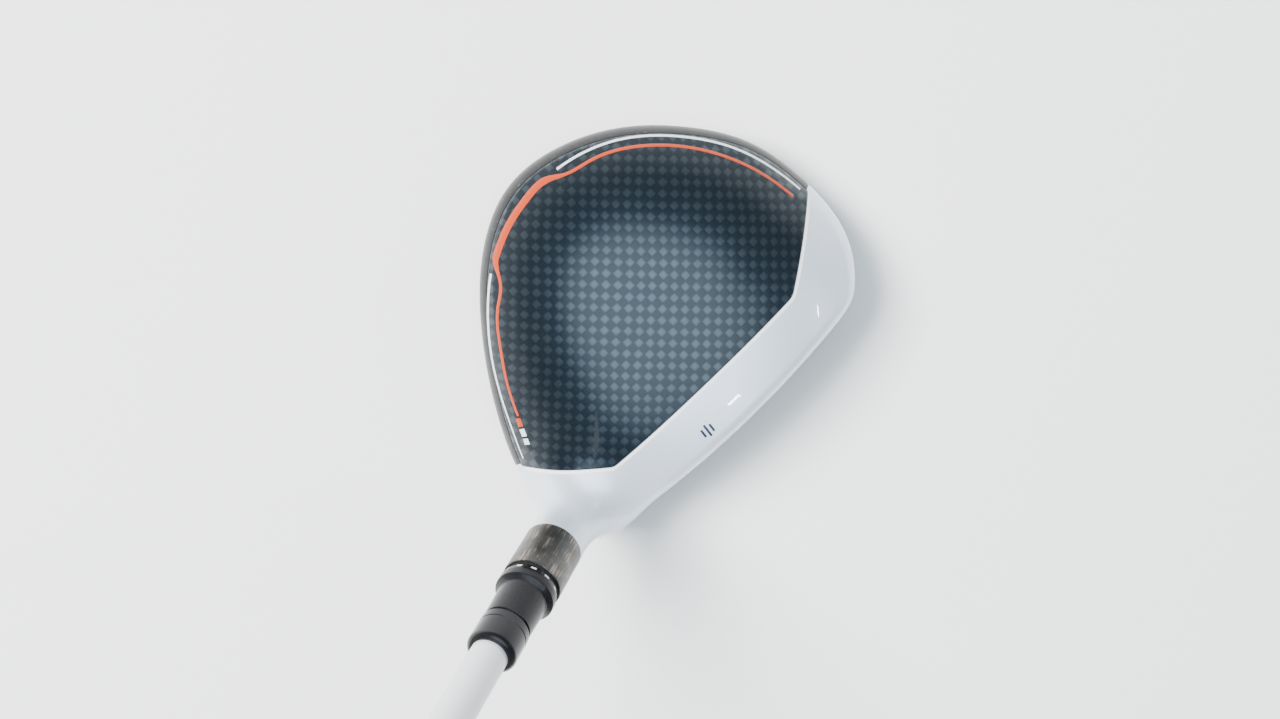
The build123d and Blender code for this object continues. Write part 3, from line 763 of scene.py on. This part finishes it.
def sole_panel_cutter():
    plan = rim_plan(SOLE_PANEL_SCALE)
    cutter = sheet_solid(lambda x, y: sole_height(x, y) + SOLE_PANEL_DEPTH + 0.03, -8.0)
    carve(cutter, upright(plan, -20, 40), "INTERSECT")
    front = [(-80, -80), (80, -80), (80, SOLE_PANEL_FRONT), (-80, SOLE_PANEL_FRONT)]
    carve(cutter, upright(front, -20, 40))
    carve(cutter, upright(circle(SOLE_PANEL_HOLE_R, REAR_WEIGHT_AT), -20, 40))
    return cutter


def follow_field(piece, limit=0.06):
    """Exact normals on the formed surface, flat or smoothed ones in the machined recesses."""
    mesh = piece.data
    points = np.empty(len(mesh.vertices) * 3)
    mesh.vertices.foreach_get("co", points)
    points = points.reshape(-1, 3) / MM
    gradient = field_gradient(points)
    gradient /= np.maximum(np.linalg.norm(gradient, axis=1), 1e-9)[:, None]
    formed = np.abs(head_field(points)) < limit
    mesh.shade_smooth()
    mesh.set_sharp_from_angle(angle=radians(30))
    corner_vertex = np.empty(len(mesh.loops), int)
    mesh.loops.foreach_get("vertex_index", corner_vertex)
    normals = np.array([n.vector for n in mesh.corner_normals])
    face_of = np.repeat(np.arange(len(mesh.polygons)), [p.loop_total for p in mesh.polygons])
    flat = np.array([p.normal for p in mesh.polygons])[face_of]
    exact = gradient[corner_vertex]
    use = formed[corner_vertex] & (np.sum(exact * flat, -1) > 0.8)
    normals[use] = exact[use]
    mesh.normals_split_custom_set(normals.tolist())


def head_skin():
    points, faces = surface_net((-66, -49, -1.5), (54, 49.5, 46), 0.8)
    points = relax(settle_on_surface(points), faces, 2)
    piece = make_piece("head_skin", points, faces, PEARL, "head")
    recalculate(piece)
    carve(piece, rod(12, NECK_TOP, NECK_TOP + 12))
    carve(piece, rod(LINER_R, -14, NECK_TOP + 14))
    carve(piece, panel_cutter())
    carve(piece, face_cutter())
    for length, width, low, high in ((TRACK_LENGTH, TRACK_WIDTH, BELOW_SOLE, LIP_LOW),
                                     (TRACK_LENGTH - 6, TRACK_GAP, 5, 10),
                                     (TRACK_LENGTH, TRACK_UNDERCUT, LIP_HIGH, TRACK_CEILING)):
        carve(piece, upright(slab_outline(length, width, TRACK_AT, TRACK_CORNER), low, high))
    slot = slab_outline(SLOT_LENGTH, SLOT_WIDTH, SLOT_AT, SLOT_CORNER)
    carve(piece, upright(slot, BELOW_SOLE, SLOT_TOP))
    carve(piece, upright(circle(REAR_WEIGHT_R + 0.01, REAR_WEIGHT_AT), BELOW_SOLE, REAR_BORE_TOP))
    carve(piece, sole_panel_cutter())
    follow_field(piece)
    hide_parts("head_body")
    return piece


def front_lip():
    """Thin raised bead along the front edge of the panel; its paint is whiter than the body's, a painted
    highlight for the light its edge catches.
    """
    first = np.argmax((PANEL[:, 1] < LIP_FRONT) & (np.roll(PANEL[:, 1], 1) >= LIP_FRONT))
    path = np.roll(PANEL, -first, axis=0)
    path = path[path[:, 1] < LIP_FRONT]
    tangent = np.gradient(path, axis=0)
    tangent /= np.maximum(np.linalg.norm(tangent, axis=1), 1e-9)[:, None]
    outward = np.stack([tangent[:, 1], -tangent[:, 0]], -1)
    flush_strip("front_lip", path + outward * 0.45, np.full(len(path), 0.75), LIP_HIGHLIGHT_WHITE, 0.10, 0.25)


# --- crown panel, stripes and marks ------------
def crown_panel():
    """Woven panel with softened edge, its underside a constant thickness below."""
    outline = moved_in(PANEL, 0.10)
    rings = []
    shares = np.append(np.linspace(0.02, 0.97, 44), [0.985, 0.994])
    for share in shares:
        rings.append(on_crown(PANEL_CENTRE + share * (outline - PANEL_CENTRE)))
    for inset, drop in ((0.20, 0.0), (0.08, -0.03), (0.0, -0.14), (0.0, -PANEL_THICKNESS)):
        rings.append(on_crown(moved_in(outline, inset), drop))
    for share in shares[::-3]:
        rings.append(on_crown(PANEL_CENTRE + share * (outline - PANEL_CENTRE), -PANEL_THICKNESS))
    count = len(outline)
    faces = grid_faces(len(rings), count, close_columns=True)
    points = np.vstack(rings)
    top, bottom = len(points), len(points) + 1
    centre = np.array([PANEL_CENTRE])
    points = np.vstack([points, on_crown(centre), on_crown(centre, -PANEL_THICKNESS)])
    last = (len(rings) - 1) * count
    for k in range(count):
        faces.append((top, k, (k + 1) % count))
        faces.append((bottom, last + (k + 1) % count, last + k))
    piece = make_piece("crown_skin", points, faces, CARBON, "head", 40)
    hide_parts("crown_panel")
    return piece


def stripe_path(marks, steps=90):
    """Smooth plan path from (direction in degrees, share of the rim radius) marks."""
    marks = np.array(marks, float)
    at = np.linspace(marks[0, 0], marks[-1, 0], steps)
    share = smooth_curve(marks[:, 0], marks[:, 1], at)
    turn = np.radians(at)
    reach = rim_radius(turn) * share
    return at, CROWN_CENTRE + reach[:, None] * np.stack([np.cos(turn), np.sin(turn)], -1)


def flush_strip(name, path, widths, material, lift=0.035, depth=0.12):
    """Thin painted strip laid on the crown along a plan path."""
    tangent = np.gradient(path, axis=0)
    tangent /= np.linalg.norm(tangent, axis=1)[:, None]
    side = np.stack([-tangent[:, 1], tangent[:, 0]], -1)
    half = (np.asarray(widths) / 2)[:, None] * np.ones((len(path), 1))
    rows = [on_crown(path - side * half, -depth), on_crown(path - side * half, lift),
            on_crown(path, lift + 0.01), on_crown(path + side * half, lift),
            on_crown(path + side * half, -depth)]
    count = len(path)
    points = np.vstack(rows)
    faces = grid_faces(5, count, close_rows=True)
    faces += [tuple(k * count for k in range(5)), tuple(k * count + count - 1 for k in range(4, -1, -1))]
    piece = make_piece(name, points, faces, material, "head", 60)
    recalculate(piece)
    return piece


def stripes():
    at, path = stripe_path([(11.8, 0.940), (24, 0.936), (38, 0.946), (51, 0.951), (66, 0.945),
                            (80, 0.924)])
    flush_strip("white_stripe_toe", path, np.full(len(at), 0.55), STRIPE_WHITE)
    at, path = stripe_path([(112, 0.946), (121, 0.955), (133, 0.960), (146, 0.951), (158, 0.938),
                            (168, 0.936)])
    taper = np.interp(at, [112, 140, 168], [0.55, 0.5, 0.28])
    flush_strip("white_stripe_heel", path, taper, STRIPE_WHITE)
    at, path = stripe_path([(12.9, 0.889), (30, 0.889), (44, 0.906), (58, 0.910), (72, 0.897), (79.4, 0.892),
                            (84.0, 0.913), (89.6, 0.912), (98, 0.917), (106, 0.931), (108.4, 0.9315),
                            (112, 0.903), (120, 0.905), (132, 0.907), (143, 0.902), (154.3, 0.886)], 260)
    width = np.interp(at, [12.9, 79, 83.4, 84, 106.5, 108, 111.5, 154.3],
                      [0.7, 0.75, 1.5, 1.7, 1.7, 1.5, 0.75, 0.6])
    flush_strip("orange_stripe", path, width, ORANGE)


def plain_marks():
    """Short plain bars: three near the heel end of the stripes, three on the front band."""
    heel = np.array([-42.9, 1.2])
    along = np.array([-0.42, -0.91])
    for k, (shift, length, material) in enumerate(((-2.3, 2.2, ORANGE), (0.4, 2.0, STRIPE_WHITE),
                                                    (2.8, 1.6, STRIPE_WHITE))):
        middle = heel + along * shift
        path = np.linspace(middle - along * length / 2, middle + along * length / 2, 8)
        flush_strip(f"heel_dash_{k}", path, np.full(8, 1.25), material)
    middle, along = np.array([-9.4, -28.0]), np.array([0.10, 0.995])
    for k, (shift, length) in enumerate(((-1.25, 2.2), (0.0, 3.4), (1.25, 2.2))):
        centre = middle + shift * np.array([along[1], -along[0]])
        path = np.linspace(centre - along * length / 2, centre + along * length / 2, 8)
        flush_strip(f"front_bar_{k}", path, np.full(8, 0.6), NAVY)


head_skin()
crown_panel()
front_lip()
stripes()
plain_marks()


# --- hosel, sleeve and shaft ------------
WASHER_TOP, BAND_TOP, COLLAR_TOP, BARREL_BASE, BARREL_TOP = 58.9, 61.0, 62.9, 63.5, 72.9
SLEEVE_TOP, FERRULE_TOP = 73.5, 82.0
BAND_LOW_R, BARREL_LOW_R, BARREL_HIGH_R, GROOVE_R, FERRULE_R = 6.6, 5.9, 5.6, 5.3, 5.8
BORE_R, SPLINE_ROOT_R, SPLINE_TIP_R, SPLINE_TEETH = 5.65, 4.7, 5.5, 12
SHAFT_TIP_R, SHAFT_BUTT_R, TIP_BORE_R, BUTT_BORE_R = 4.25, 7.6, 2.6, 6.5
PORT_R, SEAT_LOW, SEAT_HIGH, SCREW_WAY_R, THREAD_R = 4.7, 14.7, 21, 2.75, 2.55
SPLINE_LOW, SPLINE_HIGH = 22, 27
TIP_END, TAPER_START, TAPER_END, SHAFT_BUTT = 36, 110, 815, 1096
MARK_LOW, MARK_HIGH, MARK_PROUD, MARK_SUNK = 59.65, 60.25, 0.015, 0.1


def near_tooth(turn, half_angle):
    """Which directions lie within half_angle degrees of a spline tooth."""
    pitch = 2 * pi / SPLINE_TEETH
    off = np.abs((turn + pitch / 2) % pitch - pitch / 2)
    return off < radians(half_angle)


def hosel_tube():
    groove_r = SPLINE_ROOT_R + 0.15

    def grooves(radius, height, turn):
        return np.where((np.abs(radius - groove_r) < 0.01) & near_tooth(turn, 8.2), BORE_R - 0.01, radius)

    profile = [(PORT_R, -12), (LINER_R, -12), (LINER_R, NECK_TOP), (HOSEL_R, NECK_TOP),
               (HOSEL_R, NECK_TOP + 5), (HOSEL_R, HOSEL_TOP - 5),
               *arc(HOSEL_R - 0.25, HOSEL_TOP - 0.25, 0.25, 0, 90, 5),
               (BORE_R, HOSEL_TOP), (BORE_R, SPLINE_HIGH), (groove_r, SPLINE_HIGH), (groove_r, SEAT_HIGH),
               (SCREW_WAY_R, SEAT_HIGH), (SCREW_WAY_R, SEAT_LOW), (PORT_R, SEAT_LOW)]
    piece = lathe("hosel_tube_skin", profile, GUNMETAL, "head", 144, grooves)
    carve(piece, sheet_solid(lambda x, y: sole_height(x, y) + 0.3, -30.0))
    finish_edges(piece)
    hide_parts("hosel_tube")


def finish_edges(piece, angle=30):
    piece.data.shade_smooth()
    piece.data.set_sharp_from_angle(angle=radians(angle))


def collar_washer():
    profile = [(BORE_R, HOSEL_TOP), (6.45, HOSEL_TOP), (6.55, HOSEL_TOP + 0.1), (6.55, WASHER_TOP - 0.1),
               (6.45, WASHER_TOP), (BORE_R, WASHER_TOP)]
    piece = lathe("washer_skin", profile, WASHER_DARK, "collar")
    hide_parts("collar_washer")


def loft_sleeve():
    def teeth(radius, height, turn):
        low_part = (np.abs(radius - SPLINE_ROOT_R) < 0.01) & (height < 27.05)
        return np.where(low_part & near_tooth(turn, 6.8), SPLINE_TIP_R, radius)

    insert_r = BORE_R - 0.03
    profile = [(THREAD_R, SPLINE_LOW), (SPLINE_ROOT_R, SPLINE_LOW), (SPLINE_ROOT_R, SPLINE_HIGH),
               (SPLINE_ROOT_R, 27.1), (SPLINE_ROOT_R, 28),
               (insert_r, 28.6), (insert_r, WASHER_TOP), (BAND_LOW_R - 0.1, WASHER_TOP),
               (BAND_LOW_R, WASHER_TOP + 0.1), (HOSEL_R, BAND_TOP - 0.1), (HOSEL_R, BAND_TOP + 0.1),
               *arc(HOSEL_R - 0.35, COLLAR_TOP - 0.35, 0.35, 0, 60, 5),
               (BARREL_LOW_R + 0.25, BARREL_BASE - 0.12),
               (BARREL_LOW_R, BARREL_BASE + 0.2), (BARREL_HIGH_R, BARREL_TOP - 0.15),
               (BARREL_HIGH_R - 0.15, BARREL_TOP), (GROOVE_R, BARREL_TOP + 0.02), (GROOVE_R, SLEEVE_TOP),
               (SHAFT_TIP_R, SLEEVE_TOP), (SHAFT_TIP_R, TIP_END), (THREAD_R, TIP_END)]
    piece = lathe("sleeve_skin", profile, SLEEVE_BLACK, "shaft_side", 144, teeth)
    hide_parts("loft_sleeve")


def index_marks():
    """Twelve short filled marks round the chamfered band."""
    slope = (HOSEL_R - BAND_LOW_R) / (BAND_TOP - WASHER_TOP)
    half_turn, columns = radians(5.5), 6
    points, faces = [], []
    for k in range(SPLINE_TEETH):
        start = len(points)
        for height, sunk in ((MARK_LOW, MARK_SUNK), (MARK_LOW, -MARK_PROUD), (MARK_HIGH, -MARK_PROUD),
                             (MARK_HIGH, MARK_SUNK)):
            radius = BAND_LOW_R + slope * (height - WASHER_TOP) - sunk
            for turn in np.linspace(-half_turn, half_turn, columns) + k * 2 * pi / SPLINE_TEETH:
                points.append((radius * cos(turn), radius * sin(turn), height))
        block = grid_faces(4, columns, close_rows=True)
        block += [tuple(i * columns for i in (3, 2, 1, 0)),
                  tuple(i * columns + columns - 1 for i in range(4))]
        faces += [tuple(start + corner for corner in face) for face in block]
    points = AXIS_FOOT + np.array(points) @ HOSEL_FRAME
    piece = make_piece("index_marks", points, faces, MARK_WHITE, "shaft_side")
    recalculate(piece)
    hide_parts("sleeve_index_marks")


def ferrule():
    profile = [(SHAFT_TIP_R, SLEEVE_TOP), (FERRULE_R - 0.15, SLEEVE_TOP), (FERRULE_R, SLEEVE_TOP + 0.15),
               (FERRULE_R, 75.4), (FERRULE_R - 0.12, 75.5), (FERRULE_R - 0.12, 75.75), (FERRULE_R, 75.85),
               *arc(FERRULE_R - 1.4, FERRULE_TOP - 1.4, 1.4, 0, 90, 10), (SHAFT_TIP_R, FERRULE_TOP)]
    piece = lathe("ferrule_skin", profile, FERRULE_BLACK, "shaft_side", 120)
    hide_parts("ferrule")


def shaft():
    taper = [(SHAFT_TIP_R + 0.475 * k, TAPER_START + 100 * k) for k in range(1, 7)]
    profile = [(TIP_BORE_R, TIP_END), (SHAFT_TIP_R, TIP_END), (SHAFT_TIP_R, TAPER_START), *taper,
               (SHAFT_BUTT_R, TAPER_END), (SHAFT_BUTT_R, SHAFT_BUTT), (BUTT_BORE_R, SHAFT_BUTT),
               (BUTT_BORE_R, TAPER_END), (TIP_BORE_R, TAPER_START)]
    piece = lathe("shaft_skin", profile, SHAFT_SILVER, "shaft_side")
    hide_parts("shaft")


GRIP_OUTSIDE = [(8.7, 828), (9.2, 829), (9.2, 831.5), (8.9, 833), (12.9, 1078), (13.4, 1086),
                (14.4, 1093), (14.6, 1096), (14.3, 1098)]
GRIP_LOW, GRIP_HIGH, CAP_R, TAPE_R, GROOVE_PITCH = 838.0, 1074.0, 12.6, 7.9, 7.5


def grip():
    """Rubber grip with rows of short moulded grooves."""
    outer = np.array(GRIP_OUTSIDE, float)
    heights = np.concatenate([[828, 828.4, 829, 831.5, 833], np.arange(835, 1078, 1.25),
                              [1078, 1082, 1086, 1090, 1093, 1096, 1097.4, 1098]])
    radii = np.interp(heights, outer[:, 1], outer[:, 0])
    radii[-1] = 13.9

    def grooves(radius, height, turn):
        outside = radius > np.interp(height, outer[:, 1], outer[:, 0]) - 0.45
        zone = outside & (height > GRIP_LOW) & (height < GRIP_HIGH)
        stagger = pi * np.floor(height / GROOVE_PITCH)
        wave = np.cos(10 * turn + stagger) * np.sin(pi * (height % GROOVE_PITCH) / GROOVE_PITCH)
        ridge = np.cos(2 * pi * height / 2.5)
        return radius - zone * np.clip(wave, 0, 1) * (0.18 + 0.12 * (ridge > 0))

    profile = [(SHAFT_BUTT_R, 828), *zip(radii, heights), (CAP_R, 1098), (CAP_R, SHAFT_BUTT),
               (TAPE_R, SHAFT_BUTT), (TAPE_R, 832), (SHAFT_BUTT_R, 832)]
    piece = lathe("grip_skin", profile, GRIP_RUBBER, "shaft_side", 120, grooves, 50)
    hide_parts("grip")


def grip_cap():
    profile = [(1.5, SHAFT_BUTT), (CAP_R, SHAFT_BUTT), (CAP_R, 1098.4), (CAP_R - 0.3, 1098.8),
               (9.3, 1099.6), (9.0, 1099.4), (8.6, 1099.4), (8.3, 1099.72), (5.0, 1099.86),
               (1.9, 1099.98), (1.5, 1099.7)]
    piece = lathe("grip_cap_skin", profile, GRIP_RUBBER, "shaft_side", 120)
    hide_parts("grip_end_cap")


hosel_tube()
collar_washer()
loft_sleeve()
index_marks()
ferrule()
shaft()
grip()
grip_cap()


# --- floor, light and camera ------------
# direction of the middle of the bright area above, and its radius in degrees
OVERHEAD, GLOW_REACH = (-0.01, 0.14, 1.0), 39.0
FLOOR_SIZE, FLOOR_DROP = 12, 0.0002


def stage():
    bpy.ops.mesh.primitive_plane_add(size=FLOOR_SIZE, location=(0, 0, -FLOOR_DROP))
    floor = bpy.context.object
    floor.name = "floor"
    n = Nodes("floor_white")
    floor.data.materials.append(n.surface(Base_Color=(0.86, 0.855, 0.84), Roughness=0.75))

    world = bpy.data.worlds.new("studio")
    bpy.context.scene.world = world
    world.use_nodes = True
    tree = world.node_tree
    where = tree.nodes.new("ShaderNodeTexCoord")
    split = tree.nodes.new("ShaderNodeSeparateXYZ")
    ramp = tree.nodes.new("ShaderNodeValToRGB")
    tree.links.new(where.outputs["Generated"], split.inputs[0])
    tree.links.new(split.outputs["Z"], ramp.inputs[0])
    ramp.color_ramp.interpolation = "EASE"
    ramp.color_ramp.elements[0].color = (0.72, 0.72, 0.71, 1)
    ramp.color_ramp.elements[0].position = 0.16
    ramp.color_ramp.elements[1].color = (0.06, 0.085, 0.12, 1)
    ramp.color_ramp.elements[1].position = 0.50
    across = tree.nodes.new("ShaderNodeVectorMath")
    across.operation = "DOT_PRODUCT"
    across.inputs[1].default_value = Vector(OVERHEAD).normalized()
    tree.links.new(where.outputs["Generated"], across.inputs[0])
    glow = tree.nodes.new("ShaderNodeMapRange")
    glow.interpolation_type = "SMOOTHERSTEP"
    glow.inputs["From Min"].default_value = cos(radians(GLOW_REACH))
    tree.links.new(across.outputs["Value"], glow.inputs["Value"])
    mix = tree.nodes.new("ShaderNodeMix")
    mix.data_type = "RGBA"
    tree.links.new(glow.outputs[0], mix.inputs["Factor"])
    tree.links.new(ramp.outputs[0], mix.inputs["A"])
    mix.inputs["B"].default_value = (2.6, 3.1, 3.5, 1)
    tree.links.new(mix.outputs["Result"], tree.nodes["Background"].inputs[0])
    tree.nodes["Background"].inputs[1].default_value = 1.3


def lamp(name, direction, distance, size, power, colour=(1, 1, 1), target=(0.0, 0.0, 0.02)):
    light = bpy.data.lights.new(name, "AREA")
    light.shape = "RECTANGLE"
    light.size, light.size_y = size
    light.energy, light.color = power, colour
    lamp_object = bpy.data.objects.new(name, light)
    direction = Vector(direction).normalized()
    lamp_object.location = Vector(target) + direction * distance
    lamp_object.rotation_euler = direction.to_track_quat("Z", "Y").to_euler()
    bpy.context.scene.collection.objects.link(lamp_object)
    return lamp_object


def lights():
    """A soft key from behind the heel, kept out of the gloss, and two small lamps that show in it."""
    key = lamp("key", (-0.50, 0.95, 1.35), 2.2, (0.85, 0.85), 185, (1.0, 0.985, 0.96))
    key.visible_glossy = False
    lamp("band_lamp", (0.011, -0.403, 0.915), 1.6, (0.10, 0.02), 1.0)
    lamp("toe_lamp", (0.64, -0.477, 0.602), 1.6, (0.10, 0.02), 1.0)


def camera():
    data = bpy.data.cameras.new("camera")
    data.lens, data.sensor_width = 34.99, 36.0
    data.clip_start = 0.01
    view = bpy.data.objects.new("camera", data)
    right = Vector((0.72248231, -0.68630073, 0.08372945))
    up = Vector((0.68979619, 0.70729548, -0.1546426))
    back = right.cross(up)
    turn = Matrix((right, up, back)).transposed().to_4x4()
    view.matrix_world = Matrix.Translation(Vector((0.00462939, 0.04582587, 0.32515307))) @ turn
    bpy.context.scene.collection.objects.link(view)
    bpy.context.scene.camera = view


stage()
lights()
camera()
